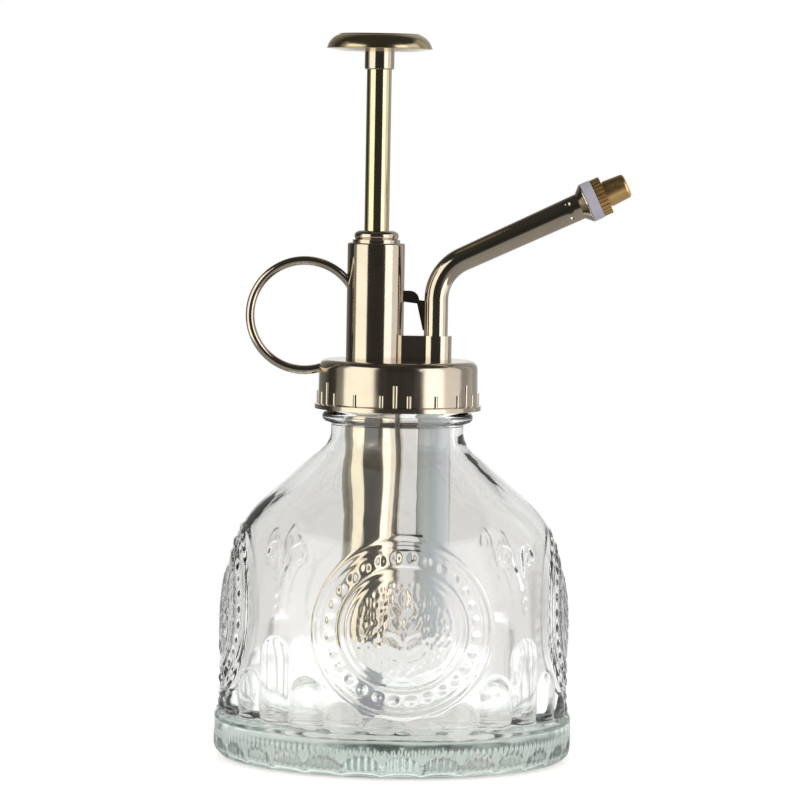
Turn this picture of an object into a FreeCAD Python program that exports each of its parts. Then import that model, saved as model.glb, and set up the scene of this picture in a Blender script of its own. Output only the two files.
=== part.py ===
import FreeCAD
import Part
import math
import os

# Hand mister: a pressed-glass bottle with a screw-on pump head.
# Millimetres. +Z up, +X towards the nozzle, origin at the centre of the bottle's resting face.
# A thumb plunger slides in an off-centre barrel and is returned by a spring. Pressing it drives water
# through the valve foot, up the delivery tube, past the outlet ball and along the arm to the nozzle.

Vec = FreeCAD.Vector
UP = Vec(0, 0, 1)
ACROSS = Vec(0, 1, 0)
ORIGIN = Vec(0, 0, 0)

# ---- driving dimensions -------------------------------------------------------------------------
RUN_FIT = 0.05  # radial clearance of a part that slides or turns in another
GAP = 0.02  # radial clearance of a seated part

# bottle
BASE_R = 41.0
BASE_BAND_H = 9.4
BODY_R = 39.7
BODY_TOP = 31.0  # where the straight wall starts to curve in
SHOULDER_R, SHOULDER_Z = 37.0, 48.0
CONE_R, CONE_Z = 30.2, 58.9
NECK_R = 15.2
NECK_FOOT_Z = 74.0
WALL = 2.7
FLOOR_Z = 7.5
MOUTH_R = 12.75
RIM_Z = 88.4
BEAD_R, BEAD_LOW, BEAD_HIGH = 17.3, 76.9, 79.2

# thread shared by the neck and the cap
PITCH = 3.2
NECK_TURNS, CAP_TURNS = 1.3, 1.0
THREAD_CREST_R, CAP_THREAD_CREST_R = 16.4, 15.75
NECK_THREAD_Z = 81.9
CAP_THREAD_START_DEG = 90.0
THREAD_SEAT = 1.2  # how far the cap's thread lies under the neck's with the cap tight

# cap
CAP_LOW, CAP_TOP = 79.8, 91.0
CAP_R, CAP_LIP_R, CAP_LIP_H = 18.2, 19.1, 1.3
CAP_BORE_R = 17.0
CAP_PLATE = 1.2
CAP_EDGE_R = 1.8
RIB_GROUPS = 6
RIB_R, RIB_OUT = 0.6, 0.4
RIB_TALL, RIB_SHORT = 4.9, 2.6
GASKET_R = 16.6
VENT_R, VENT_AT = 0.6, 11.3

# pump axes
PUMP_X = -5.5
OUTLET_X = 8.4

# barrel and gland
BARREL_R, BARREL_BORE = 6.6, 5.6
BARREL_LOW, BARREL_TOP = 27.0, 117.7
GLAND_LOW, GLAND_TOP = 111.7, 120.5
GLAND_HEAD_R = 5.1
SEAL_H = 1.5

# plunger
STROKE = 36.0
ROD_R = 2.85
TENON_R = 1.6
PISTON_TOP, PISTON_H = 111.5, 7.0
NUT_H = 2.4
FERRULE_LOW, FERRULE_TOP, FERRULE_R = 157.2, 161.8, 3.4
KNOB_R, KNOB_FLAT_R = 12.1, 8.9
KNOB_RIM_Z, KNOB_TOP, KNOB_DISH = 162.0, 165.4, 0.9
SPRING_WIRE, SPRING_R, SPRING_TURNS = 0.9, 4.4, 15

# valve foot, delivery tube, suction tube
FOOT_LOW = 20.4
PLUG_TOP = 34.0
BALL_SEAT_Z = 24.0
INLET_BALL_R = 2.0
INLET_PORT_R = 1.2
BALL_ROOM_R = 2.7
INLET_LIFT = 1.5
CAGE_H = 1.2
GALLERY_Z, GALLERY_R = 25.3, 1.0
RISER_LOW, RISER_R = 23.4, 1.5
TUBE_R, TUBE_BORE = 3.6, 2.6
TUBE_TOP = 89.5
DIP_R, DIP_BORE = 2.5, 1.6
DIP_LOW = 9.6
STRAINER_R = 3.3
STRAINER_LOW = 8.7

# outlet socket and brace
SOCKET_R, SOCKET_TOP = 3.7, 96.7
SPIGOT_LOW = 80.0
OUTLET_BALL_R = 1.8
OUTLET_SEAT_Z = 89.0
OUTLET_PORT_R = 1.1
OUTLET_ROOM_R = 2.3

# spray arm: distances along the arm are measured from the corner where its two straight axes meet
ARM_R, ARM_END_R, ARM_BORE = 2.75, 3.05, 1.6
ARM_FOOT_Z = 93.0
CORNER_Z = 111.5
ARM_RISE_DEG = 25.3
BEND_R = 10.3
ARM_END = 35.9
CRIMPS, CRIMP_AT, CRIMP_DEEP = 6, 33.4, 0.3
FLARE_END, FLARE_R = 37.7, 4.6
WASHER_END = 40.1
SPOUT_START, KNURL_END, SPOUT_NECK, SPOUT_END = 40.15, 42.3, 42.7, 47.7
KNURL_R, KNURLS = 4.45, 28

# finger ring
RING_X, RING_Z = -21.6, 100.9
RING_MEAN_R = 12.5
RING_THICK, RING_WIDE = 2.0, 4.4


# ---- helpers -----------------------------------------------------------------------------------
def export(shape, node):
    """Writes the node's solids to parts/NODE.step, and stops if one is open or invalid."""
    solids = shape.Solids
    if not solids or not all(s.isValid() and s.Volume > 0 for s in solids):
        raise SystemExit("bad solid in " + node)
    Part.makeCompound(solids).exportStep(os.path.join("parts", node + ".step"))
    print(f"{node:16s} solids {len(solids)}  volume {sum(s.Volume for s in solids):9.1f} mm3")


def rod(radius, low, high, x=0.0):
    return Part.makeCylinder(radius, high - low, Vec(x, 0, low))


def tube(outer, bore, low, high, x=0.0):
    return rod(outer, low, high, x).cut(rod(bore, low - 1, high + 1, x))


def turned(outline, x=0.0):
    """Revolves a closed outline of (radius, z) corners and arcs about the vertical axis through x.
    An arc is given as ("arc", (r, z) on it, (r, z) at its end)."""
    here = outline[0]
    edges = []
    for step in outline[1:] + [outline[0]]:
        if step[0] == "arc":
            mid, end = step[1], step[2]
            edges.append(Part.Arc(at(here), at(mid), at(end)).toShape())
            here = end
        elif step != here:
            edges.append(Part.LineSegment(at(here), at(step)).toShape())
            here = step
    face = Part.Face(Part.Wire(edges))
    solid = face.revolve(ORIGIN, UP, 360)
    solid.translate(Vec(x, 0, 0))
    return solid


def at(point):
    return Vec(point[0], 0, point[1])


def rotated(shape, degrees, centre=ORIGIN, axis=UP):
    copy = shape.copy()
    copy.rotate(centre, axis, degrees)
    return copy


def along_arm(shape):
    """Moves a shape built on the Z axis, with z as distance from the corner, onto the arm's axis."""
    copy = shape.copy()
    copy.rotate(ORIGIN, ACROSS, 90 - ARM_RISE_DEG)
    copy.translate(Vec(OUTLET_X, 0, CORNER_Z))
    return copy


def thread(radius_root, radius_crest, root_half, crest_half, turns, start_z, start_deg):
    """A right-hand thread whose section tapers from its root radius to its crest radius."""
    helix = Part.makeHelix(PITCH, PITCH * turns, max(radius_root, radius_crest))
    corners = [
        Vec(radius_root, 0, -root_half),
        Vec(radius_crest, 0, -crest_half),
        Vec(radius_crest, 0, crest_half),
        Vec(radius_root, 0, root_half),
    ]
    section = Part.makePolygon(corners + corners[:1])
    solid = Part.Wire(helix.Edges).makePipeShell([section], True, True)
    solid.rotate(ORIGIN, UP, start_deg)
    solid.translate(Vec(0, 0, start_z))
    return solid


def two_post_plan(radius_a, radius_b, low, high):
    """A block whose plan is two discs, on the pump axis and the outlet axis, joined by tangents."""
    spread = OUTLET_X - PUMP_X
    lean = math.acos((radius_a - radius_b) / spread)
    a_top = Vec(PUMP_X + radius_a * math.cos(lean), radius_a * math.sin(lean), low)
    b_top = Vec(OUTLET_X + radius_b * math.cos(lean), radius_b * math.sin(lean), low)
    a_low = Vec(a_top.x, -a_top.y, low)
    b_low = Vec(b_top.x, -b_top.y, low)
    wire = Part.Wire(
        [
            Part.LineSegment(a_top, b_top).toShape(),
            Part.Arc(b_top, Vec(OUTLET_X + radius_b, 0, low), b_low).toShape(),
            Part.LineSegment(b_low, a_low).toShape(),
            Part.Arc(a_low, Vec(PUMP_X - radius_a, 0, low), a_top).toShape(),
        ]
    )
    return Part.Face(wire).extrude(Vec(0, 0, high - low))


# ---- bottle and its seal ---------------------------------------------------------------------------
def make_bottle():
    """Pressed-glass bottle: banded base with a push-up, straight body, shoulder, threaded neck."""
    corner = 3.0
    foot_r = 34.0
    push_up = 1.6
    outer = [
        (0, push_up),
        (4.0, push_up),
        ("arc", (foot_r * 0.6, push_up * 0.72), (foot_r, 0)),
        (BASE_R - corner, 0),
        ("arc", (BASE_R - corner * 0.293, corner * 0.293), (BASE_R, corner)),
        (BASE_R, BASE_BAND_H),
        ("arc", (BASE_R - 0.35, BASE_BAND_H + 0.9), (BODY_R, BASE_BAND_H + 1.5)),
        (BODY_R, BODY_TOP),
        ("arc", (39.05, 39.6), (SHOULDER_R, SHOULDER_Z)),
        ("arc", (34.55, 53.9), (CONE_R, CONE_Z)),
        (18.6, 69.3),
        ("arc", (16.1, 71.6), (NECK_R, NECK_FOOT_Z)),
        (NECK_R, BEAD_LOW),
        (BEAD_R - 0.6, BEAD_LOW),
        ("arc", (BEAD_R, (BEAD_LOW + BEAD_HIGH) / 2), (BEAD_R - 0.6, BEAD_HIGH)),
        (NECK_R, BEAD_HIGH),
        (NECK_R, RIM_Z),
        (0, RIM_Z),
    ]
    inner_r = BODY_R - WALL
    inner = [
        (0, FLOOR_Z),
        (inner_r - 6.0, FLOOR_Z),
        ("arc", (inner_r - 1.757, FLOOR_Z + 1.757), (inner_r, FLOOR_Z + 6.0)),
        (inner_r, BODY_TOP),
        ("arc", (36.35, 39.2), (34.4, 46.9)),
        ("arc", (32.2, 52.2), (28.4, 56.9)),
        (16.7, 67.4),
        ("arc", (13.8, 70.1), (MOUTH_R, 73.4)),
        (MOUTH_R, RIM_Z + 1),
        (0, RIM_Z + 1),
    ]
    blank = turned(outer).cut(turned(inner))
    neck_thread = thread(NECK_R - 0.15, THREAD_CREST_R, 0.9, 0.4, NECK_TURNS, NECK_THREAD_Z, 0)
    return blank.fuse(neck_thread)


def make_gasket():
    return tube(GASKET_R, MOUTH_R + 0.1, RIM_Z, CAP_TOP - CAP_PLATE)


# ---- cap, ring, barrel --------------------------------------------------------------------------------
def cap_envelope():
    lip_top = CAP_LOW + CAP_LIP_H
    soft = CAP_EDGE_R * (1 - math.sqrt(0.5))
    return turned(
        [
            (0, CAP_LOW),
            (CAP_LIP_R, CAP_LOW),
            (CAP_LIP_R, lip_top - 0.3),
            (CAP_R + 0.1, lip_top),
            (CAP_R, CAP_TOP - CAP_EDGE_R),
            ("arc", (CAP_R - soft, CAP_TOP - soft), (CAP_R - CAP_EDGE_R, CAP_TOP)),
            (0, CAP_TOP),
        ]
    )


def grip_rib(height):
    base = CAP_LOW + CAP_LIP_H - 0.4
    return rod(RIB_R, base, base + height + 0.4, CAP_R + RIB_OUT - RIB_R)


def make_cap():
    cap = cap_envelope()
    for group in range(RIB_GROUPS):
        centre = -92.0 + group * 360.0 / RIB_GROUPS
        for offset, height in ((0, RIB_TALL), (-10, RIB_SHORT), (10, RIB_SHORT), (30, RIB_SHORT)):
            cap = cap.fuse(rotated(grip_rib(height), centre + offset))
    cap = cap.cut(rod(CAP_BORE_R, CAP_LOW - 1, CAP_TOP - CAP_PLATE))
    cap = cap.cut(rod(BARREL_R + GAP, CAP_LOW, CAP_TOP + 1, PUMP_X))
    cap = cap.cut(rod(TUBE_BORE + GAP, CAP_LOW, CAP_TOP + 1, OUTLET_X))
    cap = cap.cut(rotated(rod(VENT_R, CAP_LOW, CAP_TOP + 1, VENT_AT), 90))
    start_z = NECK_THREAD_Z - THREAD_SEAT + PITCH * CAP_THREAD_START_DEG / 360.0
    start_deg = CAP_THREAD_START_DEG
    inner_thread = thread(CAP_BORE_R + 0.15, CAP_THREAD_CREST_R, 0.75, 0.35, CAP_TURNS, start_z, start_deg)
    return cap.fuse(inner_thread)


def make_ring():
    """Finger loop: a strip with round edges bent to a circle, from the barrel's side round to the cap."""
    half_t, half_w = RING_THICK / 2, RING_WIDE / 2
    flat = half_w - half_t
    inner, outer = RING_MEAN_R - half_t, RING_MEAN_R + half_t
    centre = Vec(RING_X, 0, RING_Z)

    def spot(radius, y):
        return Vec(RING_X - radius, y, RING_Z)

    wire = Part.Wire(
        [
            Part.Arc(spot(outer, -flat), spot(RING_MEAN_R, -half_w), spot(inner, -flat)).toShape(),
            Part.LineSegment(spot(inner, -flat), spot(inner, flat)).toShape(),
            Part.Arc(spot(inner, flat), spot(RING_MEAN_R, half_w), spot(outer, flat)).toShape(),
            Part.LineSegment(spot(outer, flat), spot(outer, -flat)).toShape(),
        ]
    )
    loop = Part.Face(wire).revolve(centre, ACROSS, 360)
    loop = loop.cut(rod(BARREL_R, CAP_LOW, BARREL_TOP, PUMP_X)).cut(cap_envelope())
    return min(loop.Solids, key=lambda s: s.BoundBox.XMin)


def make_barrel():
    rim = 0.5
    barrel = turned(
        [
            (BARREL_BORE, BARREL_LOW),
            (BARREL_R, BARREL_LOW),
            (BARREL_R, BARREL_TOP - rim),
            ("arc", (BARREL_R - 0.146, BARREL_TOP - 0.146), (BARREL_R - rim, BARREL_TOP)),
            (BARREL_BORE, BARREL_TOP),
        ],
        PUMP_X,
    )
    return barrel


def make_gland():
    """Guide bush screwed into the barrel's top, with a domed head round the rod."""
    head_z = BARREL_TOP
    return turned(
        [
            (ROD_R + RUN_FIT, GLAND_LOW + SEAL_H),
            (4.05, GLAND_LOW + SEAL_H),
            (4.05, GLAND_LOW),
            (BARREL_BORE - GAP, GLAND_LOW),
            (BARREL_BORE - GAP, head_z),
            (GLAND_HEAD_R + 0.35, head_z),
            (GLAND_HEAD_R + 0.35, head_z + 0.7),
            (GLAND_HEAD_R - 0.25, head_z + 0.9),
            ("arc", (GLAND_HEAD_R, head_z + 1.6), (GLAND_HEAD_R - 0.6, GLAND_TOP - 0.25)),
            ("arc", (GLAND_HEAD_R - 1.1, GLAND_TOP - 0.03), (GLAND_HEAD_R - 1.6, GLAND_TOP)),
            (ROD_R + RUN_FIT, GLAND_TOP),
        ],
        PUMP_X,
    )


def make_rod_seal():
    return tube(4.03, ROD_R + RUN_FIT, GLAND_LOW, GLAND_LOW + SEAL_H - GAP, PUMP_X)


# ---- outlet socket, brace and arm ---------------------------------------------------------------------
def make_socket():
    """Boss that seats the arm, with a web to the barrel and a spigot down into the delivery tube."""
    boss = rod(SOCKET_R, CAP_TOP, SOCKET_TOP, OUTLET_X)
    web_half = 2.6
    web = Part.makeBox(OUTLET_X - PUMP_X, 2 * web_half, SOCKET_TOP - CAP_TOP, Vec(PUMP_X, -web_half, CAP_TOP))
    body = boss.fuse(web).fuse(rod(TUBE_BORE - GAP, SPIGOT_LOW, CAP_TOP + 1, OUTLET_X))
    body = body.cut(rod(BARREL_R, CAP_LOW, SOCKET_TOP + 1, PUMP_X))
    body = body.cut(ball_room(OUTLET_PORT_R, OUTLET_ROOM_R, OUTLET_SEAT_Z, SPIGOT_LOW - 1, ARM_FOOT_Z, OUTLET_X))
    return body.cut(rod(ARM_R + GAP, ARM_FOOT_Z, SOCKET_TOP + 1, OUTLET_X))


def ball_room(port_r, room_r, seat_z, low, high, x):
    """The hollow of a ball valve: a port from below, a 45 degree seat, and a room above it."""
    seat_h = room_r - port_r
    hollow = rod(port_r, low, seat_z + seat_h, x)
    hollow = hollow.fuse(Part.makeCone(port_r, room_r, seat_h, Vec(x, 0, seat_z)))
    return hollow.fuse(rod(room_r, seat_z + seat_h, high, x))


def ball_height(ball_r, port_r, seat_z):
    """Centre height of a ball resting on a 45 degree seat, with GAP between them."""
    return seat_z + (ball_r + GAP) * math.sqrt(2) - port_r


def make_brace():
    """Small strut that ties the arm's upright to the barrel, with an open window under it."""
    half = 1.0
    left = PUMP_X + BARREL_R - 0.6
    right = OUTLET_X - ARM_R + 0.6
    top = 106.9
    outline = [
        Part.LineSegment(Vec(left, -half, top - 2.5), Vec(left, -half, top)).toShape(),
        Part.LineSegment(Vec(left, -half, top), Vec(2.4, -half, top)).toShape(),
        Part.Arc(Vec(2.4, -half, top), Vec(3.7, -half, top - 0.5), Vec(4.5, -half, top - 2.1)).toShape(),
        Part.LineSegment(Vec(4.5, -half, top - 2.1), Vec(right, -half, top - 2.3)).toShape(),
        Part.LineSegment(Vec(right, -half, top - 2.3), Vec(right, -half, top - 9.0)).toShape(),
        Part.LineSegment(Vec(right, -half, top - 9.0), Vec(5.4, -half, top - 9.0)).toShape(),
        Part.LineSegment(Vec(5.4, -half, top - 9.0), Vec(4.0, -half, top - 2.9)).toShape(),
        Part.LineSegment(Vec(4.0, -half, top - 2.9), Vec(left, -half, top - 2.5)).toShape(),
    ]
    plate = Part.Face(Part.Wire(outline)).extrude(Vec(0, 2 * half, 0))
    plate = plate.cut(rod(BARREL_R, CAP_TOP, BARREL_TOP, PUMP_X))
    return plate.cut(arm_envelope(0.0))


def arm_envelope(grow):
    """The arm's outer shape: an upright, a bend and a straight that widens slightly to the nozzle."""
    turn = 90.0 - ARM_RISE_DEG
    tangent = BEND_R * math.tan(math.radians(turn / 2))
    radius = ARM_R + grow
    upright = rod(radius, ARM_FOOT_Z, CORNER_Z - tangent, OUTLET_X)
    disc = Part.Face(Part.Wire(Part.makeCircle(radius, Vec(OUTLET_X, 0, CORNER_Z - tangent), UP)))
    bend = disc.revolve(Vec(OUTLET_X + BEND_R, 0, CORNER_Z - tangent), ACROSS, turn)
    cone = Part.makeCone(radius, ARM_END_R + grow, ARM_END - tangent, Vec(0, 0, tangent))
    return upright.fuse(bend).fuse(along_arm(cone))


def make_arm():
    turn = 90.0 - ARM_RISE_DEG
    tangent = BEND_R * math.tan(math.radians(turn / 2))
    hollow = rod(ARM_BORE, ARM_FOOT_Z - 1, CORNER_Z - tangent, OUTLET_X)
    disc = Part.Face(Part.Wire(Part.makeCircle(ARM_BORE, Vec(OUTLET_X, 0, CORNER_Z - tangent), UP)))
    hollow = hollow.fuse(disc.revolve(Vec(OUTLET_X + BEND_R, 0, CORNER_Z - tangent), ACROSS, turn))
    hollow = hollow.fuse(along_arm(rod(ARM_BORE, tangent, ARM_END + 1)))
    arm = arm_envelope(0.0).cut(hollow)
    punch = Part.makeSphere(1.0, Vec(ARM_END_R + 1.0 - CRIMP_DEEP, 0, CRIMP_AT))
    for k in range(CRIMPS):
        arm = arm.cut(along_arm(rotated(punch, k * 360.0 / CRIMPS)))
    return arm


# ---- nozzle ---------------------------------------------------------------------------------------
SPIGOT_R, SPIGOT_END = 2.3, 44.0
CORE_END = 46.0
ROOM_END, ROOM_R = 46.6, 2.15
ORIFICE_R = 0.35


def make_nozzle_seat():
    """Flared fitting at the arm's end, whose spigot carries the spout."""
    tail = 3.5
    seat = turned(
        [
            (0.9, ARM_END - tail),
            (ARM_BORE - GAP, ARM_END - tail),
            (ARM_BORE - GAP, ARM_END),
            (ARM_END_R, ARM_END),
            (FLARE_R - 0.1, FLARE_END - 0.35),
            (FLARE_R, FLARE_END - 0.15),
            (FLARE_R, FLARE_END),
            (SPIGOT_R, FLARE_END),
            (SPIGOT_R, SPIGOT_END),
            (1.3, SPIGOT_END),
            (1.3, FLARE_END),
            (0.9, FLARE_END),
        ]
    )
    return along_arm(seat)


def make_washer():
    washer = turned(
        [
            (SPIGOT_R + GAP, FLARE_END),
            (FLARE_R, FLARE_END),
            (FLARE_R, WASHER_END - 0.9),
            (KNURL_R + 0.1, WASHER_END),
            (SPIGOT_R + GAP, WASHER_END),
        ]
    )
    return along_arm(washer)


def make_spout():
    """Brass spout: a knurled flange to turn it by and a tapered tip with the orifice."""
    spout = turned(
        [
            (SPIGOT_R + RUN_FIT, SPOUT_START),
            (KNURL_R, SPOUT_START),
            (KNURL_R, KNURL_END),
            (2.9, KNURL_END),
            (2.9, SPOUT_NECK),
            (3.1, SPOUT_NECK),
            (2.85, SPOUT_END - 0.8),
            ("arc", (2.6, SPOUT_END - 0.2), (2.0, SPOUT_END)),
            (1.0, SPOUT_END),
            (ORIFICE_R, SPOUT_END - 0.5),
            (ORIFICE_R, ROOM_END),
            (ROOM_R, ROOM_END),
            (ROOM_R, SPIGOT_END + 0.2),
            (SPIGOT_R + RUN_FIT, SPIGOT_END + 0.2),
        ]
    )
    groove = Part.makeCylinder(0.32, 4, Vec(KNURL_R + 0.06, 0, SPOUT_START - 1))
    for k in range(KNURLS):
        spout = spout.cut(rotated(groove, k * 360.0 / KNURLS))
    return along_arm(spout)


def make_swirl_core():
    """Pin in the spigot whose slotted head makes the water swirl before the orifice."""
    core = rod(0.8, FLARE_END + 1.0, SPIGOT_END).fuse(rod(1.9, SPIGOT_END, CORE_END))
    slot = Part.makeBox(1.1, 5.0, CORE_END - SPIGOT_END + 1, Vec(0.9, -2.5, SPIGOT_END - 0.5))
    for k in range(3):
        core = core.cut(rotated(slot, k * 120.0))
    return along_arm(core)


# ---- inside the bottle ------------------------------------------------------------------------------
def make_delivery_tube():
    return tube(TUBE_R, TUBE_BORE, BARREL_LOW, TUBE_TOP, OUTLET_X)


def make_spacer():
    """Bar that holds the delivery tube off the barrel."""
    low, thick, half = 50.0, 1.2, 3.0
    left, right = PUMP_X + BARREL_R - 1.5, OUTLET_X - TUBE_R + 1.5
    bar = Part.makeBox(right - left, 2 * half, thick, Vec(left, -half, low))
    return bar.cut(rod(BARREL_R, low - 1, low + 3, PUMP_X)).cut(rod(TUBE_R, low - 1, low + 3, OUTLET_X))


def make_foot():
    """Valve foot: closes the barrel, holds the inlet ball and leads water to the delivery tube."""
    foot = two_post_plan(BARREL_R - 0.1, TUBE_R, FOOT_LOW, BARREL_LOW)
    foot = foot.fuse(rod(BARREL_BORE - GAP, BARREL_LOW, PLUG_TOP, PUMP_X))
    foot = foot.fuse(rod(TUBE_BORE - GAP, BARREL_LOW, PLUG_TOP, OUTLET_X))
    foot = foot.cut(rod(DIP_R, FOOT_LOW - 1, BALL_SEAT_Z - 1.6, PUMP_X))
    foot = foot.cut(ball_room(INLET_PORT_R, BALL_ROOM_R, BALL_SEAT_Z, FOOT_LOW, PLUG_TOP + 1, PUMP_X))
    gallery = Part.makeCylinder(GALLERY_R, OUTLET_X - PUMP_X, Vec(PUMP_X, 0, GALLERY_Z), Vec(1, 0, 0))
    return foot.cut(gallery).cut(rod(RISER_R, RISER_LOW, PLUG_TOP + 1, OUTLET_X))


def make_cage():
    """Four-armed stop over the inlet ball."""
    low = ball_height(INLET_BALL_R, INLET_PORT_R, BALL_SEAT_Z) + INLET_BALL_R + INLET_LIFT + 0.1
    disc = rod(BALL_ROOM_R - GAP, low, low + CAGE_H, PUMP_X)
    port = rod(0.75, low - 1, low + 3, PUMP_X + 1.6)
    for k in range(4):
        disc = disc.cut(rotated(port, 45 + 90.0 * k, Vec(PUMP_X, 0, 0)))
    return disc


def make_dip_tube():
    return tube(DIP_R - GAP, DIP_BORE, DIP_LOW, BALL_SEAT_Z - 1.6, PUMP_X)


def make_strainer():
    """Slotted cup pushed over the end of the suction tube."""
    cup = rod(STRAINER_R, STRAINER_LOW, STRAINER_LOW + 5.0, PUMP_X)
    cup = cup.cut(rod(DIP_R, DIP_LOW, STRAINER_LOW + 6.0, PUMP_X))
    slot = Part.makeBox(4.0, 0.6, 1.4, Vec(PUMP_X + 0.8, -0.3, STRAINER_LOW - 0.6))
    for k in range(8):
        cup = cup.cut(rotated(slot, k * 45.0, Vec(PUMP_X, 0, 0)))
    return cup


# ---- plunger ---------------------------------------------------------------------------------------
def make_knob():
    """Thumb button: a flared disc with a shallow dish on top."""
    knob = turned(
        [
            (ROD_R + GAP, FERRULE_TOP - 0.6),
            (FERRULE_R, FERRULE_TOP - 0.6),
            (8.2, FERRULE_TOP - 0.5),
            (KNOB_R - 0.15, KNOB_RIM_Z - 0.1),
            ("arc", (KNOB_R, KNOB_RIM_Z + 0.05), (KNOB_R - 0.1, KNOB_RIM_Z + 0.2)),
            ("arc", (11.1, 163.93), (KNOB_FLAT_R + 0.6, KNOB_TOP - 0.3)),
            ("arc", (KNOB_FLAT_R + 0.25, KNOB_TOP - 0.08), (KNOB_FLAT_R - 0.2, KNOB_TOP)),
            ("arc", (5.0, KNOB_TOP - KNOB_DISH * 0.77), (1.5, KNOB_TOP - KNOB_DISH)),
            (0, KNOB_TOP - KNOB_DISH),
            (0, KNOB_TOP - 2.0),
            (ROD_R + GAP, KNOB_TOP - 2.0),
        ],
        PUMP_X,
    )
    return knob


def make_ferrule():
    low = FERRULE_LOW
    return turned(
        [
            (ROD_R + GAP, low),
            (FERRULE_R - 0.25, low),
            (FERRULE_R, low + 0.25),
            (FERRULE_R, FERRULE_TOP - 0.6),
            (ROD_R + GAP, FERRULE_TOP - 0.6),
        ],
        PUMP_X,
    )


def make_rod():
    shaft = rod(ROD_R, PISTON_TOP, KNOB_TOP - 2.0, PUMP_X)
    return shaft.fuse(rod(TENON_R, PISTON_TOP - PISTON_H - NUT_H - 0.8, PISTON_TOP, PUMP_X))


def make_piston():
    low = PISTON_TOP - PISTON_H
    return turned(
        [
            (TENON_R + GAP, low),
            (5.3, low),
            (5.3, low + 2.0),
            (4.2, low + 2.0),
            (4.2, low + 5.0),
            (5.3, low + 5.0),
            (5.3, PISTON_TOP),
            (TENON_R + GAP, PISTON_TOP),
        ],
        PUMP_X,
    )


def make_piston_seal():
    low = PISTON_TOP - PISTON_H + 2.0
    wall = BARREL_BORE - 0.03
    return turned(
        [
            (4.2, low + GAP),
            (wall - 0.5, low + GAP),
            (wall, low + 0.9),
            (wall, low + 2.1),
            (wall - 0.5, low + 3.0 - GAP),
            (4.2, low + 3.0 - GAP),
        ],
        PUMP_X,
    )


def make_piston_nut():
    low = PISTON_TOP - PISTON_H - NUT_H
    corners = [
        Vec(PUMP_X + 3.1 * math.cos(math.radians(60 * k)), 3.1 * math.sin(math.radians(60 * k)), low)
        for k in range(6)
    ]
    nut = Part.Face(Part.makePolygon(corners + corners[:1])).extrude(Vec(0, 0, NUT_H))
    return nut.cut(rod(TENON_R + GAP, low - 1, low + 4, PUMP_X))


def make_spring():
    """Compression spring between the valve foot's plug and the piston."""
    low = PLUG_TOP + SPRING_WIRE / 2
    high = PISTON_TOP - PISTON_H - SPRING_WIRE / 2
    height = high - low
    helix = Part.makeHelix(height / SPRING_TURNS, height, SPRING_R)
    section = Part.Wire(Part.makeCircle(SPRING_WIRE / 2, Vec(SPRING_R, 0, 0), ACROSS))
    coil = Part.Wire(helix.Edges).makePipeShell([section], True, True)
    coil.translate(Vec(PUMP_X, 0, low))
    return coil


def make_ball(radius, port_r, seat_z, x):
    return Part.makeSphere(radius, Vec(x, 0, ball_height(radius, port_r, seat_z)))


def main():
    os.makedirs("parts", exist_ok=True)
    nodes = {
        "bottle": make_bottle(),
        "neck_gasket": make_gasket(),
        "screw_cap": make_cap(),
        "finger_ring": make_ring(),
        "pump_barrel": make_barrel(),
        "gland_nut": make_gland(),
        "rod_seal": make_rod_seal(),
        "outlet_socket": make_socket(),
        "arm_brace": make_brace(),
        "spray_arm": make_arm(),
        "nozzle_seat": make_nozzle_seat(),
        "nozzle_washer": make_washer(),
        "nozzle_spout": make_spout(),
        "swirl_core": make_swirl_core(),
        "delivery_tube": make_delivery_tube(),
        "tube_spacer": make_spacer(),
        "valve_foot": make_foot(),
        "ball_cage": make_cage(),
        "dip_tube": make_dip_tube(),
        "strainer": make_strainer(),
        "return_spring": make_spring(),
        "thumb_knob": make_knob(),
        "knob_ferrule": make_ferrule(),
        "plunger_rod": make_rod(),
        "piston_head": make_piston(),
        "piston_seal": make_piston_seal(),
        "piston_nut": make_piston_nut(),
        "inlet_ball": make_ball(INLET_BALL_R, INLET_PORT_R, BALL_SEAT_Z, PUMP_X),
        "outlet_ball": make_ball(OUTLET_BALL_R, OUTLET_PORT_R, OUTLET_SEAT_Z, OUTLET_X),
    }
    for name, shape in nodes.items():
        export(shape, name)


main()
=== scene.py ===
import math

import bpy
import numpy as np
from mathutils import Matrix, Vector
from mathutils.bvhtree import BVHTree


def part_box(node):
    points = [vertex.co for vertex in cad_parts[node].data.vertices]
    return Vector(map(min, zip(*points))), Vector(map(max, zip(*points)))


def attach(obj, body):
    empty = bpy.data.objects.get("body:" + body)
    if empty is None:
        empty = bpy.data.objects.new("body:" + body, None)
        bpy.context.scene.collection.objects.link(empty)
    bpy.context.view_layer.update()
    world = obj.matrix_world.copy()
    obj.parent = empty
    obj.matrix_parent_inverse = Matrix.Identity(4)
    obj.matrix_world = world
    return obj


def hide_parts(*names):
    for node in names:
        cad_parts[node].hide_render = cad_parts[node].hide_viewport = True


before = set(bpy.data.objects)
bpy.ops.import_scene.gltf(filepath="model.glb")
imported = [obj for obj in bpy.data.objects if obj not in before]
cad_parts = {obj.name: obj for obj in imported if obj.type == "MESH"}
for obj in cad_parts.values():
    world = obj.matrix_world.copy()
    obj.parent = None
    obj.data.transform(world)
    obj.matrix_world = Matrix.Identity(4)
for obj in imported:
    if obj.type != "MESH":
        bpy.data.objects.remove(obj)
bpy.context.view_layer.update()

# Looks of a hand mister: an embossed pressed-glass bottle and a polished antique-bronze pump.
# The bottle's wall and ornament are worked out in millimetres and degrees, and all else in metres.

MM = 0.001
RIM_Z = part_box("bottle")[1].z / MM
RIM_ROUND = 0.6

# ---- ornament of the bottle, millimetres and degrees ------------------------------------------------
WALL_R = 39.7
ORNAMENT_TOP = 64.0

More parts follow.
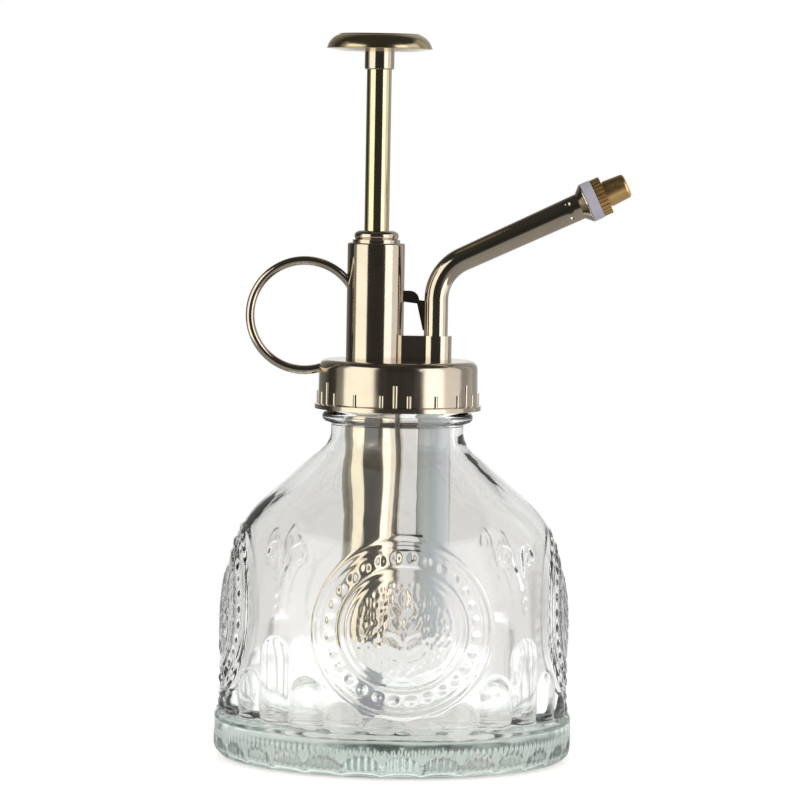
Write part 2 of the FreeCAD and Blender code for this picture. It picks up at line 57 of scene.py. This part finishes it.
MEDALLIONS = 4
MEDALLION_TURN = 3.2  # how far the front medallion is turned towards the nozzle
MEDALLION_Z = 33.2
MEDALLION_WIDE, MEDALLION_TALL = 21.4, 20.0
BORDERS = ((20.6, 1.0, 0.38), (19.2, 0.7, 0.2), (14.3, 1.0, 0.34), (12.9, 0.7, 0.18))  # radius, reach, height
BEADS, BEAD_RING_R, BEAD_R, BEAD_H = 28, 16.9, 1.5, 0.42
EMBLEM_R, EMBLEM_EDGE_R = 10.6, 11.6
SPOT_COUNT, SPOT_SPACING, SPOT_R, SPOT_H = 190, 1.12, 0.85, 0.24
LEAF_HALF_WIDTH, LEAF_H = 1.6, 0.45
VEIN_DEPTH, VEIN_HALF_WIDTH = 0.35, 0.28  # the depth is a share of the leaf's height

SCROLL_Z = 48.3
CURL_OUT, CURL_R = 4.3, 2.4
STROKE_R, STROKE_H = 0.8, 0.5
DROPS = ((-6.6, 1.5), (-9.6, 1.1), (-11.8, 0.8))  # height from the scroll's middle, radius

PANEL_STEP = 90.0 / 7
PANEL_TOPS = (30.1, 22.2, 16.5, 13.8)  # under the scroll, then towards the medallions
PANEL_FOOT, PANEL_H = 9.6, 0.7

RIBS, RIB_DEPTH = 168, 0.3
LOBES, LOBE_DEPTH = 28, 0.7

THREAD_PITCH, THREAD_START_Z, THREAD_TURNS = 3.2, 81.9, 1.3
THREAD_HALF_WIDTH, THREAD_H = 0.95, 1.1


# ---- small helpers -----------------------------------------------------------------------------------
def new_object(name, mesh):
    piece = bpy.data.objects.new(name, mesh)
    bpy.context.scene.collection.objects.link(piece)
    return piece


def dome(distance, reach, height):
    """A raised rounded form with clear edges: full height at distance 0, nothing beyond reach."""
    return height * (1.0 - np.clip(np.abs(distance) / reach, 0.0, 1.0) ** 2.6)


def ridge(distance, reach, height):
    """A raised form that fades softly to nothing at reach."""
    return height * np.cos(0.5 * np.pi * np.clip(np.abs(distance) / reach, 0.0, 1.0)) ** 2


def smoothstep(low, high, value):
    t = np.clip((value - low) / (high - low), 0.0, 1.0)
    return t * t * (3.0 - 2.0 * t)


def line_distance(u, v, points):
    """Distance from each (u, v) to a polyline."""
    best = np.full(u.shape, 1e9)
    for (ax, ay), (bx, by) in zip(points[:-1], points[1:]):
        dx, dy = bx - ax, by - ay
        t = np.clip(((u - ax) * dx + (v - ay) * dy) / (dx * dx + dy * dy), 0.0, 1.0)
        best = np.minimum(best, np.hypot(u - ax - t * dx, v - ay - t * dy))
    return best


# ---- the ornament as a height above the plain wall ----------------------------------------------------
def leaf(u, v, at, length, lean):
    """A pointed leaf from its foot at `at`, leaning by `lean` degrees from upright."""
    c, s = math.cos(math.radians(lean)), math.sin(math.radians(lean))
    along = (u - at[0]) * s + (v - at[1]) * c
    across = (u - at[0]) * c - (v - at[1]) * s
    t = np.clip(along / length, 0.0, 1.0)
    half = LEAF_HALF_WIDTH * np.sin(np.pi * np.clip(t, 0.02, 0.98)) ** 0.8
    inside = (along > 0) & (along < length)
    vein = VEIN_DEPTH * LEAF_H * np.exp(-((across / VEIN_HALF_WIDTH) ** 2))
    blade = dome(across, half, LEAF_H) - vein
    return np.where(inside & (np.abs(across) < half), blade, 0.0)


def scattered_spots():
    """Irregular positions in the middle of a medallion, none too close to another."""
    random = np.random.default_rng(7)
    spots = []
    while len(spots) < SPOT_COUNT:
        x, y = random.uniform(-EMBLEM_R, EMBLEM_R, 2)
        clear = all(math.hypot(x - a, y - b) > SPOT_SPACING for a, b in spots)
        if math.hypot(x, y) < EMBLEM_R and clear:
            spots.append((x, y))
    return spots


SPOTS = scattered_spots()


def stipple(u, v):
    """Small dots that fill the ground round the sprig."""
    height = np.zeros(u.shape)
    for x, y in SPOTS:
        height = np.maximum(height, ridge(np.hypot(u - x, v - y), SPOT_R, SPOT_H))
    return height


def sprig(u, v):
    """A plain sprig of leaves and berries in the middle of a medallion."""
    stem = line_distance(u, v, [(0.0, -9.6), (0.4, -4.5), (-0.3, 1.0), (0.0, 5.5)])
    shape = ridge(stem, 0.8, 0.4)
    berry_r, berry_h = 1.1, 0.42
    for k in range(4):
        foot = (0.25 * (-1) ** k, -7.6 + 3.4 * k)
        length = 6.0 - 0.6 * k
        for side in (-1, 1):
            shape = np.maximum(shape, leaf(u, v, foot, length, side * (56 - 5 * k)))
            tip = (foot[0] + side * (length + 1.0) * 0.84, foot[1] + (length + 1.0) * 0.66)
            shape = np.maximum(shape, ridge(np.hypot(u - tip[0], v - tip[1]), berry_r, berry_h))
    return np.maximum(shape, leaf(u, v, (0.0, 5.0), 4.6, 0.0))


def medallion(u, v):
    """Two ringed borders with a band of beads between them, round a sprig on a stippled ground."""
    tall = v * MEDALLION_WIDE / MEDALLION_TALL
    r = np.hypot(u, tall)
    height = np.zeros(u.shape)
    for radius, reach, rise in BORDERS:
        height = height + ridge(r - radius, reach, rise)
    for k in range(BEADS):
        a = 2 * math.pi * (k + 0.5) / BEADS
        d = np.hypot(u - BEAD_RING_R * math.cos(a), tall - BEAD_RING_R * math.sin(a))
        height = height + ridge(d, BEAD_R, BEAD_H)
    if not np.any(r < EMBLEM_EDGE_R):
        return height
    shape = sprig(u, tall)
    clear_of_ground = 0.12
    emblem = np.where(shape > clear_of_ground, shape, stipple(u, tall))
    return height + np.where(r < EMBLEM_EDGE_R, emblem, 0.0)


def scroll(u, v):
    """Two volutes that rise from one stem and curl outwards, with drops under them."""
    height = np.zeros(u.shape)
    steps, half_turns, tightening = 25, 2.3, 0.6
    for side in (-1, 1):
        points = [(0.1 * side, -6.2), (0.7 * side, -4.0), (1.5 * side, -1.8)]
        for k in range(steps + 1):
            t = k / steps
            a = math.pi * (1.0 - half_turns * t)
            r = CURL_R * (1.0 - tightening * t)
            points.append((side * (CURL_OUT + r * math.cos(a)), r * math.sin(a)))
        height = np.maximum(height, ridge(line_distance(u, v, points), STROKE_R, STROKE_H))
        eye = np.hypot(u - side * (CURL_OUT - 0.1), v)
        height = np.maximum(height, ridge(eye, STROKE_R, 0.8 * STROKE_H))
    for z, r in DROPS:
        height = np.maximum(height, ridge(np.hypot(u, v - z), r, 0.4 * r))
    return height


def panels(degrees_from_scroll, z):
    """Arched convex panels side by side, lower and lower from the scroll to the medallion."""
    height = np.zeros(z.shape)
    half_step = math.radians(PANEL_STEP / 2) * WALL_R
    reach = half_step - 0.2
    for k, top in enumerate(PANEL_TOPS):
        x = np.radians(np.abs(degrees_from_scroll) - PANEL_STEP * k) * WALL_R
        z_line = np.clip(z, PANEL_FOOT - reach, top - reach)
        height = np.maximum(height, dome(np.hypot(x, z - z_line), reach, PANEL_H))
    return height


def ornament(theta, z):
    """Height of the moulded ornament over the plain wall at azimuth theta (degrees) and height z, in mm."""
    spacing = 360.0 / MEDALLIONS
    front = -90.0 + MEDALLION_TURN
    from_medallion = (theta - front + spacing / 2) % spacing - spacing / 2
    from_scroll = (theta - front) % spacing - spacing / 2
    u = np.radians(from_medallion) * WALL_R
    badge = medallion(u, z - MEDALLION_Z)
    tall = (z - MEDALLION_Z) * MEDALLION_WIDE / MEDALLION_TALL
    outside = smoothstep(MEDALLION_WIDE - 0.1, MEDALLION_WIDE + 0.7, np.hypot(u, tall))
    wall = smoothstep(10.4, 11.2, z)
    height = badge + outside * wall * panels(from_scroll, z)
    height = height + outside * scroll(np.radians(from_scroll) * WALL_R, z - SCROLL_Z)
    rib = np.cos(np.radians(theta - front) * RIBS / 2) ** 2
    band = smoothstep(1.0, 2.4, z) * (1.0 - smoothstep(4.2, 7.0, z))
    lobe = np.abs(np.cos(np.radians(theta - front) * LOBES / 2)) ** 0.6
    low = smoothstep(0.3, 1.2, z) * (1.0 - smoothstep(2.5, 5.5, z))
    return height - RIB_DEPTH * band * (1.0 - rib) - LOBE_DEPTH * low * (1.0 - lobe)


def neck_thread(theta, z):
    """The right-hand thread on the neck: its height over the neck, in mm."""
    height = np.zeros(z.shape)
    run_out = 0.06
    for lap in range(2):
        turns = (theta % 360.0) / 360.0 + lap
        line = THREAD_START_Z + THREAD_PITCH * turns
        ending = smoothstep(THREAD_TURNS - run_out, THREAD_TURNS, turns)
        fade = smoothstep(0.0, run_out, turns) * (1.0 - ending)
        height = np.maximum(height, fade * dome(z - line, THREAD_HALF_WIDTH, THREAD_H))
    return height


# ---- the bottle's mesh ----------------------------------------------------------------------------------
def cad_surface(node):
    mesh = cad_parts[node].data
    return BVHTree.FromPolygons([v.co for v in mesh.vertices], [p.vertices for p in mesh.polygons])


def hit(tree, origin, direction):
    return tree.ray_cast(Vector(origin), Vector(direction))[0]


def outer_radius(tree, z_mm):
    """Radius of the CAD bottle's outside at a height, in mm."""
    return hit(tree, (-0.2, 0, z_mm * MM), (1, 0, 0)).xy.length / MM


def inner_radius(tree, z_mm):
    return hit(tree, (0, 0, z_mm * MM), (-1, 0, 0)).xy.length / MM


def outer_profile(tree):
    """(radius, height) from the middle of the underside up to the rim, and how many rings are fine."""
    rows = []
    for r in (6.0, 14.0, 22.0, 29.0, 34.0, 36.0):
        rows.append((r, hit(tree, (-r * MM, 0, -0.02), (0, 0, 1)).z / MM))
    foot_corner, steps = 3.0, 8
    for k in range(steps):
        z = foot_corner * (1.0 - math.cos(math.radians(90.0 * k / steps)))
        rows.append((outer_radius(tree, z + 0.01), z))
    fine_top, neck_foot, neck_plain, thread_low = 56.0, 73.0, 76.0, 80.0
    for z in np.arange(foot_corner, fine_top, 0.5):
        rows.append((outer_radius(tree, z), z))
    fine_rows = len(rows)
    neck_r = outer_radius(tree, neck_plain)
    for z in np.arange(fine_top, neck_foot, 1.4):
        rows.append((outer_radius(tree, z), z))
    for z in np.arange(neck_foot, RIM_Z - 0.5, 0.5):
        plain = outer_radius(tree, z) if z < thread_low else neck_r
        rows.append((plain, z))
    side, top = neck_r - RIM_ROUND, RIM_Z - RIM_ROUND
    for k in range(5):
        a = math.radians(22.5 * k)
        rows.append((side + RIM_ROUND * math.cos(a), top + RIM_ROUND * math.sin(a)))
    return rows, fine_rows


def inner_profile(tree):
    """(radius, height) from the rim down to the middle of the inside floor."""
    rows = []
    side, top = inner_radius(tree, RIM_Z - 5.0) + RIM_ROUND, RIM_Z - RIM_ROUND
    for k in range(4):
        a = math.radians(30 * k)
        rows.append((side - RIM_ROUND * math.sin(a), top + RIM_ROUND * math.cos(a)))
    cone_top, wall_low = 66.0, 14.0
    for z in list(np.arange(RIM_Z - 3.0, cone_top, -2.0)) + list(np.arange(cone_top, wall_low, -1.5)):
        rows.append((inner_radius(tree, z), z))
    floor_z = hit(tree, (0.001, 0.001, 0.04), (0, 0, -1)).z / MM
    wall = inner_radius(tree, 20.0)
    floor_corner = 6.0
    for k in range(7):
        a = math.radians(15 * k)
        rows.append((wall - floor_corner * (1.0 - math.cos(a)), floor_z + floor_corner * (1.0 - math.sin(a))))
    for r in (24.0, 16.0, 8.0):
        rows.append((r, floor_z))
    return rows, floor_z


def ring_of(rows, index, segments, outside):
    """Coordinates of one ring, with the ornament outside or the slight waves of pressed glass inside."""
    r, z = rows[index]
    before, after = rows[max(index - 1, 0)], rows[min(index + 1, len(rows) - 1)]
    along = Vector((after[0] - before[0], after[1] - before[1]))
    normal = Vector((along.y, -along.x)).normalized()
    theta = np.arange(segments) * 360.0 / segments
    a = np.radians(theta)
    flat = np.full(segments, z)
    resting_face, wavy_top = 0.6, 74.0  # the ornament starts above one, and the waves end at the other
    lift = np.zeros(segments)
    if outside and z >= ORNAMENT_TOP:
        lift = neck_thread(theta, flat)
    elif outside and z >= resting_face:
        lift = ornament(theta, flat)
    elif not outside and z <= wavy_top:
        lift = 0.10 * np.sin(3 * a + z * 0.11) + 0.08 * np.sin(7 * a - z * 0.17 + 1.0)
    radius = r + normal.x * lift
    return np.stack([radius * np.cos(a), radius * np.sin(a), flat + normal.y * lift], axis=1)


def bridge(faces, low, low_count, high, high_count):
    """Faces between a ring and the next, which has as many points or an even fraction of them."""
    share = low_count // high_count
    for j in range(high_count):
        a, b = high + j, high + (j + 1) % high_count
        first = [low + (j * share + i) % low_count for i in range(share + 1)]
        faces.append(first + [b, a] if share == 1 else first[: share // 2 + 1] + [a])
        if share > 1:
            faces.append([first[share // 2], b, a])
            faces.append(first[share // 2:] + [b])


def make_bottle(tree):
    outer, fine_rows = outer_profile(tree)
    inner, floor_z = inner_profile(tree)
    fine, middle, coarse = 672, 336, 168
    rings = [(outer, k, fine if k < fine_rows else middle) for k in range(len(outer))]
    rings += [(inner, k, coarse) for k in range(len(inner))]
    points, faces, start, counts = [], [], [], []
    for rows, index, count in rings:
        start.append(sum(counts))
        counts.append(count)
        points.append(ring_of(rows, index, count, rows is outer))
    for k in range(len(start) - 1):
        bridge(faces, start[k], counts[k], start[k + 1], counts[k + 1])
    centre_z = outer[0][1]
    points.append(np.array([[0, 0, centre_z], [0, 0, floor_z]]))
    low_pole = start[-1] + counts[-1]
    for j in range(counts[0]):
        faces.append([low_pole, (j + 1) % counts[0], j])
    for j in range(counts[-1]):
        faces.append([low_pole + 1, start[-1] + j, start[-1] + (j + 1) % counts[-1]])
    mesh = bpy.data.meshes.new("bottle_glass")
    mesh.from_pydata((np.concatenate(points) * MM).tolist(), [], faces)
    mesh.validate()
    mesh.polygons.foreach_set("use_smooth", [True] * len(mesh.polygons))
    mesh.update()
    return new_object("bottle_glass", mesh)


# ---- materials ----------------------------------------------------------------------------------------
class Nodes:
    """A material's node tree, with short calls for adding and linking nodes."""

    def __init__(self, name):
        self.material = bpy.data.materials.new(name)
        self.material.use_nodes = True
        self.tree = self.material.node_tree
        self.shader = self.tree.nodes["Principled BSDF"]
        self.output = self.tree.nodes["Material Output"]

    def add(self, kind, **values):
        node = self.tree.nodes.new(kind)
        for key, value in values.items():
            if hasattr(node, key):
                setattr(node, key, value)
            else:
                node.inputs[key.replace("_", " ")].default_value = value
        return node

    def link(self, source, target):
        self.tree.links.new(source, target)

    def set(self, **values):
        for key, value in values.items():
            self.shader.inputs[key.replace("_", " ")].default_value = value

    def place(self, stretch=(1, 1, 1)):
        """Object coordinates, stretched."""
        where = self.add("ShaderNodeTexCoord")
        scale = self.add("ShaderNodeMapping")
        scale.inputs["Scale"].default_value = stretch
        self.link(where.outputs["Object"], scale.inputs["Vector"])
        return scale.outputs["Vector"]

    def noise(self, vector, scale, detail=4.0, roughness=0.5):
        node = self.add("ShaderNodeTexNoise", Scale=scale, Detail=detail, Roughness=roughness)
        self.link(vector, node.inputs["Vector"])
        return node.outputs["Fac"]

    def ramp(self, fac, *stops):
        node = self.add("ShaderNodeValToRGB")
        while len(node.color_ramp.elements) < len(stops):
            node.color_ramp.elements.new(0.5)
        for element, (position, colour) in zip(node.color_ramp.elements, stops):
            element.position = position
            element.color = (*colour, 1.0)
        self.link(fac, node.inputs["Fac"])
        return node.outputs["Color"]

    def spread(self, fac, low, high):
        """A value from 0 to 1, moved to the range low to high."""
        node = self.add("ShaderNodeMapRange")
        node.inputs["To Min"].default_value = low
        node.inputs["To Max"].default_value = high
        self.link(fac, node.inputs["Value"])
        return node.outputs["Result"]

    def fade(self, value, low, high, start, end):
        """`start` below `low`, `end` above `high`, and a smooth change between them."""
        node = self.add("ShaderNodeMapRange", interpolation_type="SMOOTHSTEP")
        for name, number in (("From Min", low), ("From Max", high), ("To Min", start), ("To Max", end)):
            node.inputs[name].default_value = number
        self.link(value, node.inputs["Value"])
        return node.outputs["Result"]

    def combine(self, operation, first, second):
        node = self.add("ShaderNodeMath", operation=operation)
        self.link(first, node.inputs[0])
        self.link(second, node.inputs[1])
        return node.outputs["Value"]

    def bump(self, height, strength, distance):
        node = self.add("ShaderNodeBump", Strength=strength, Distance=distance)
        self.link(height, node.inputs["Height"])
        self.link(node.outputs["Normal"], self.shader.inputs["Normal"])


def tinted(colour, factor):
    return tuple(min(1.0, c * factor) for c in colour)


def metal(name, colour, rough, grain=(1, 1, 1), wear=0.12):
    """Polished plated metal: slight tone changes and faint polishing lines, drawn out along `grain`."""
    n = Nodes(name)
    n.set(Metallic=1.0)
    where = n.place()
    tone = n.noise(where, 90.0, 5.0, 0.55)
    worn, bright = tinted(colour, 1.0 - wear), tinted(colour, 1.0 + wear * 0.5)
    n.link(n.ramp(tone, (0.30, worn), (0.55, colour), (0.75, bright)), n.shader.inputs["Base Color"])
    lines = n.noise(n.place(grain), 900.0, 3.0, 0.6)
    n.link(n.spread(lines, rough * 0.7, rough * 1.5), n.shader.inputs["Roughness"])
    n.bump(lines, 0.03, 0.0001)
    return n.material


def reach_from(n, where, across):
    """Distance from the medallions' middle as seen along X or Y; `across` is 1 for each axis that counts."""
    flat = n.add("ShaderNodeVectorMath", operation="MULTIPLY")
    flat.inputs[1].default_value = across
    n.link(where, flat.inputs[0])
    reach = n.add("ShaderNodeVectorMath", operation="LENGTH")
    n.link(flat.outputs["Vector"], reach.inputs[0])
    return reach.outputs["Value"]


def glass_roughness(n, where):
    """Fire-polished at the neck, a little dull where the ornament is pressed, and duller on the emblems."""
    split = n.add("ShaderNodeSeparateXYZ")
    n.link(where, split.inputs["Vector"])
    moulded_top, plain_from, dull, polished = 0.046, 0.058, 0.085, 0.008
    moulded = n.fade(split.outputs["Z"], moulded_top, plain_from, dull, polished)
    turned = n.add("ShaderNodeMapping", vector_type="POINT")
    turned.inputs["Rotation"].default_value = (0, 0, -math.radians(MEDALLION_TURN))
    turned.inputs["Location"].default_value = (0, 0, -MEDALLION_Z * MM)
    n.link(where, turned.inputs["Vector"])
    from_middle = [reach_from(n, turned.outputs["Vector"], across) for across in ((1, 0, 1), (0, 1, 1))]
    emblem_edge, clear_from, extra_dull = 0.0095, 0.0120, 0.06
    emblem = n.fade(n.combine("MINIMUM", *from_middle), emblem_edge, clear_from, extra_dull, 0.0)
    return n.combine("ADD", moulded, emblem)


def clear_glass():
    """Pressed soda glass: almost colourless, with a pale green cast where it is thick."""
    n = Nodes("pressed_glass")
    n.set(Metallic=0.0, IOR=1.49, Transmission_Weight=1.0)
    where = n.place()
    tone = n.noise(where, 45.0, 3.0)
    base = n.ramp(tone, (0.3, (0.955, 0.962, 0.958)), (0.7, (0.985, 0.988, 0.985)))
    n.link(base, n.shader.inputs["Base Color"])
    n.link(glass_roughness(n, where), n.shader.inputs["Roughness"])
    n.bump(n.noise(n.place((1, 1, 0.45)), 160.0, 2.0), 0.10, 0.0004)
    depth = n.add("ShaderNodeVolumeAbsorption", Density=7.0)
    depth.inputs["Color"].default_value = (0.52, 0.80, 0.70, 1.0)
    n.link(depth.outputs["Volume"], n.output.inputs["Volume"])
    return n.material


def plastic(name, colour, rough, mottle=0.08):
    n = Nodes(name)
    where = n.place()
    tone = n.noise(where, 260.0, 4.0)
    base = n.ramp(tone, (0.3, tinted(colour, 1.0 - mottle)), (0.7, tinted(colour, 1.0 + mottle)))
    n.link(base, n.shader.inputs["Base Color"])
    n.link(n.spread(tone, rough * 0.8, rough * 1.2), n.shader.inputs["Roughness"])
    n.set(IOR=1.45)
    n.bump(n.noise(where, 1500.0, 2.0), 0.08, 0.0001)
    return n.material


def milky_plastic():
    """Cloudy tubing, with painted shade: a little dark where it is seen face on, lighter part way out, and
    darkest where its wall is seen edge on.
    """
    n = Nodes("milky_tube")
    edge = n.add("ShaderNodeLayerWeight", Blend=0.35)
    tone = n.noise(n.place((1, 1, 0.2)), 220.0, 3.0)
    cloud = n.spread(tone, 0.0, 0.25)
    both = n.combine("ADD", cloud, edge.outputs["Facing"])
    # painted shade and light by view angle: darker face on, lighter part way out, darkest edge on
    painted_shading = (0.1, (0.32, 0.35, 0.37)), (0.5, (0.44, 0.46, 0.475)), (0.9, (0.17, 0.175, 0.18))
    n.link(n.ramp(both, *painted_shading), n.shader.inputs["Base Color"])
    n.link(n.spread(tone, 0.25, 0.38), n.shader.inputs["Roughness"])
    n.set(IOR=1.5)
    return n.material


def studio_floor():
    n = Nodes("pale_floor")
    tone = n.noise(n.place(), 6.0, 3.0)
    base = n.ramp(tone, (0.3, (0.93, 0.93, 0.93)), (0.7, (0.95, 0.95, 0.95)))
    n.link(base, n.shader.inputs["Base Color"])
    n.set(Roughness=0.9)
    return n.material


BRONZE = (0.60, 0.53, 0.425)
ROD_BRASS = (0.66, 0.60, 0.39)
KNOB_BRONZE = (0.62, 0.53, 0.33)
YELLOW_BRASS = (0.80, 0.53, 0.23)
STEEL = (0.62, 0.62, 0.64)
GREY = (0.25, 0.245, 0.285)
PALE = (0.72, 0.73, 0.72)
BLACK = (0.035, 0.035, 0.037)


def dress(material, *nodes):
    """Gives CAD nodes a material."""
    for name in nodes:
        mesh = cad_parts[name].data
        mesh.materials.clear()
        mesh.materials.append(material)


def dress_frame():
    """Gives every CAD node that stays in view its finish."""
    turned, drawn = (1, 1, 0.05), (1, 1, 0.02)
    dress(metal("bronze_turned", BRONZE, 0.15, turned), "screw_cap")
    bronze = metal("bronze_drawn", BRONZE, 0.10, drawn)
    dress(bronze, "pump_barrel", "gland_nut", "knob_ferrule", "finger_ring")
    dress(bronze, "outlet_socket", "spray_arm", "nozzle_seat")
    # painted shade: the brace and the spacer get the same bronze at under half its brightness
    dress(metal("bronze_painted_shade", tinted(BRONZE, 0.45), 0.14), "arm_brace", "tube_spacer")
    dress(metal("brass_rod", ROD_BRASS, 0.08, drawn), "plunger_rod")
    dress(metal("bronze_knob", KNOB_BRONZE, 0.17), "thumb_knob")
    brass = metal("brass_spout", YELLOW_BRASS, 0.30, wear=0.2)
    dress(brass, "nozzle_spout", "piston_head", "piston_nut")
    dress(metal("bright_steel", STEEL, 0.12), "return_spring", "inlet_ball", "outlet_ball")
    dress(plastic("grey_plastic", GREY, 0.42), "nozzle_washer", "ball_cage", "swirl_core", "strainer")
    dress(plastic("pale_plastic", PALE, 0.35, 0.05), "valve_foot")
    dress(milky_plastic(), "delivery_tube", "dip_tube")
    dress(plastic("black_rubber", BLACK, 0.6), "neck_gasket", "rod_seal", "piston_seal")


# ---- studio ---------------------------------------------------------------------------------------------
LIGHT_DISTANCE = 0.8
WARM, COOL = (1.0, 0.98, 0.90), (1.0, 0.97, 0.98)
# name, azimuth in degrees (0 in front, positive towards the nozzle), width, height, middle's height,
# radiance, colour
SOFTBOXES = (
    ("softbox_left", -59, 0.74, 1.05, 0.27, 1.7, WARM),
    ("edge_left", -92, 0.22, 1.2, 0.30, 0.25, WARM),
    ("softbox_right", 53, 0.46, 1.05, 0.27, 2.0, COOL),
    ("wing_right", 86, 0.48, 1.05, 0.27, 1.05, COOL),
    ("edge_right", 120, 0.44, 1.2, 0.30, 0.35, COOL),
)


def softbox(name, azimuth, width, height, centre_z, radiance, colour):
    """A soft box that faces the mister."""
    a = math.radians(azimuth)
    data = bpy.data.lights.new(name, "AREA")
    data.shape = "RECTANGLE"
    data.size, data.size_y = width, height
    data.energy = radiance * math.pi * width * height
    data.color = colour
    lamp = bpy.data.objects.new(name, data)
    bpy.context.scene.collection.objects.link(lamp)
    lamp.location = (LIGHT_DISTANCE * math.sin(a), -LIGHT_DISTANCE * math.cos(a), centre_z)
    aim = Vector((0, 0, centre_z)) - lamp.location
    lamp.rotation_euler = aim.to_track_quat("-Z", "Y").to_euler()
    lamp.visible_camera = False


class Air:
    """The world's node tree, with short calls for mixing colours and reading ramps."""

    def __init__(self):
        world = bpy.data.worlds.new("studio")
        bpy.context.scene.world = world
        world.use_nodes = True
        world.cycles.sampling_method = "NONE"
        self.tree = world.node_tree
        self.tree.nodes.clear()
        where = self.tree.nodes.new("ShaderNodeTexCoord")
        self.way = self.tree.nodes.new("ShaderNodeSeparateXYZ")
        self.tree.links.new(where.outputs["Generated"], self.way.inputs["Vector"])

    def mix(self, factor, first, second):
        node = self.tree.nodes.new("ShaderNodeMix")
        node.data_type = "RGBA"
        self.tree.links.new(factor, node.inputs["Factor"])
        for name, value in (("A", first), ("B", second)):
            socket = next(i for i in node.inputs if i.name == name and i.type == "RGBA")
            if isinstance(value, tuple):
                socket.default_value = (*value, 1.0)
            else:
                self.tree.links.new(value, socket)
        return next(o for o in node.outputs if o.type == "RGBA")

    def times(self, first, second):
        node = self.tree.nodes.new("ShaderNodeVectorMath")
        node.operation = "MULTIPLY"
        self.tree.links.new(first, node.inputs[0])
        self.tree.links.new(second, node.inputs[1])
        return node.outputs["Vector"]

    def above(self, limit, value):
        """1 where a light path's count is over the limit, 0 elsewhere."""
        node = self.tree.nodes.new("ShaderNodeMath")
        node.operation = "GREATER_THAN"
        node.inputs[1].default_value = limit
        self.tree.links.new(value, node.inputs[0])
        return node.outputs["Value"]

    def ramp(self, axis, *stops):
        """Brightness by one coordinate of the view direction: 0 stands for -1, and 1 for 1."""
        spread = self.tree.nodes.new("ShaderNodeMapRange")
        spread.inputs["From Min"].default_value = -1.0
        self.tree.links.new(self.way.outputs[axis], spread.inputs["Value"])
        node = self.tree.nodes.new("ShaderNodeValToRGB")
        while len(node.color_ramp.elements) < len(stops):
            node.color_ramp.elements.new(0.5)
        for element, (position, level) in zip(node.color_ramp.elements, stops):
            element.position = position
            element.color = (level, level * 0.97, level * 0.94, 1.0)
        self.tree.links.new(spread.outputs["Result"], node.inputs["Fac"])
        return node.outputs["Color"]


def make_world():
    """A white studio whose walls look dark to the polished metal, as black cards beside a softbox do."""
    air = Air()
    path = air.tree.nodes.new("ShaderNodeLightPath")
    through_glass = air.above(0.5, path.outputs["Transmission Depth"])
    through_both_walls = air.above(3.5, path.outputs["Transmission Depth"])
    reflected = air.above(0.5, path.outputs["Glossy Depth"])
    white, lit_evenly = (1.0, 1.0, 1.0), (1.12, 1.12, 1.12)
    grey_behind_glass, bright_in_wall = (0.77, 0.735, 0.715), (0.92, 0.92, 0.90)

    # what the metal outside the bottle reflects
    dark_walls = air.ramp("Z", (0.0, 0.40), (0.36, 0.34), (0.44, 0.045), (0.60, 0.03), (1.0, 0.05))
    backwards = air.ramp("Y", (0.0, 0.0), (0.72, 0.0), (0.90, 1.0))
    back_wall = air.ramp("X", (0.0, 0.14), (0.4, 0.30), (0.6, 0.50), (1.0, 0.42))
    walls = air.mix(backwards, dark_walls, back_wall)
    straight_back = air.ramp("Y", (0.0, 0.0), (0.972, 0.0), (0.988, 1.0), (1.0, 1.0))
    walls = air.mix(straight_back, walls, white)

    # what is seen through the glass, plainly or by way of a reflection inside it
    by_depth = air.ramp("Y", (0.0, 0.05), (0.05, 0.06), (0.16, 0.62), (0.6, 0.86), (1.0, 1.0))
    by_side = air.ramp("X", (0.0, 0.28), (0.22, 0.45), (0.5, 1.0), (1.0, 0.92))
    reflection = air.mix(through_both_walls, bright_in_wall, air.times(by_depth, by_side))
    in_glass = air.mix(reflected, grey_behind_glass, reflection)

    seen = air.mix(through_glass, walls, in_glass)
    colour = air.mix(path.outputs["Is Glossy Ray"], lit_evenly, seen)
    colour = air.mix(path.outputs["Is Transmission Ray"], colour, seen)
    colour = air.mix(path.outputs["Is Camera Ray"], colour, white)
    shade = air.tree.nodes.new("ShaderNodeBackground")
    out = air.tree.nodes.new("ShaderNodeOutputWorld")
    air.tree.links.new(colour, shade.inputs["Color"])
    air.tree.links.new(shade.outputs["Background"], out.inputs["Surface"])


def make_floor():
    """A small round floor, just under the bottle."""
    reach, corners, drop = 0.17, 96, 0.0002
    turns = [2 * math.pi * k / corners for k in range(corners)]
    mesh = bpy.data.meshes.new("floor")
    mesh.from_pydata([(reach * math.cos(a), reach * math.sin(a), 0) for a in turns], [], [range(corners)])
    mesh.materials.append(studio_floor())
    floor = new_object("floor", mesh)
    floor.location.z = -drop
    floor.visible_glossy = False


def make_camera():
    """A metre in front and a little below the thumb knob, rolled by one degree."""
    aim = Vector((0.0005, 0.0, 0.0818))
    eye = Vector((0.0005, -1.05, 0.145))
    seen_width = 0.1832
    data = bpy.data.cameras.new("camera")
    data.sensor_width = 36.0
    data.lens = data.sensor_width * (aim - eye).length / seen_width
    data.clip_start = 0.05
    camera = bpy.data.objects.new("camera", data)
    bpy.context.scene.collection.objects.link(camera)
    look = (aim - eye).to_track_quat("-Z", "Y").to_matrix().to_4x4()
    roll = Matrix.Rotation(math.radians(1.0), 4, "Z")
    camera.matrix_world = Matrix.Translation(eye) @ look @ roll
    bpy.context.scene.camera = camera


# ---- the scene ------------------------------------------------------------------------------------------
bpy.context.scene.view_settings.view_transform = "Standard"
make_camera()
make_world()
make_floor()
for box in SOFTBOXES:
    softbox(*box)
dress_frame()

bottle = make_bottle(cad_surface("bottle"))
bottle.data.materials.append(clear_glass())
bottle.visible_shadow = False  # the parts inside and the floor stay lit through the glass
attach(bottle, "bottle")
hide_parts("bottle")
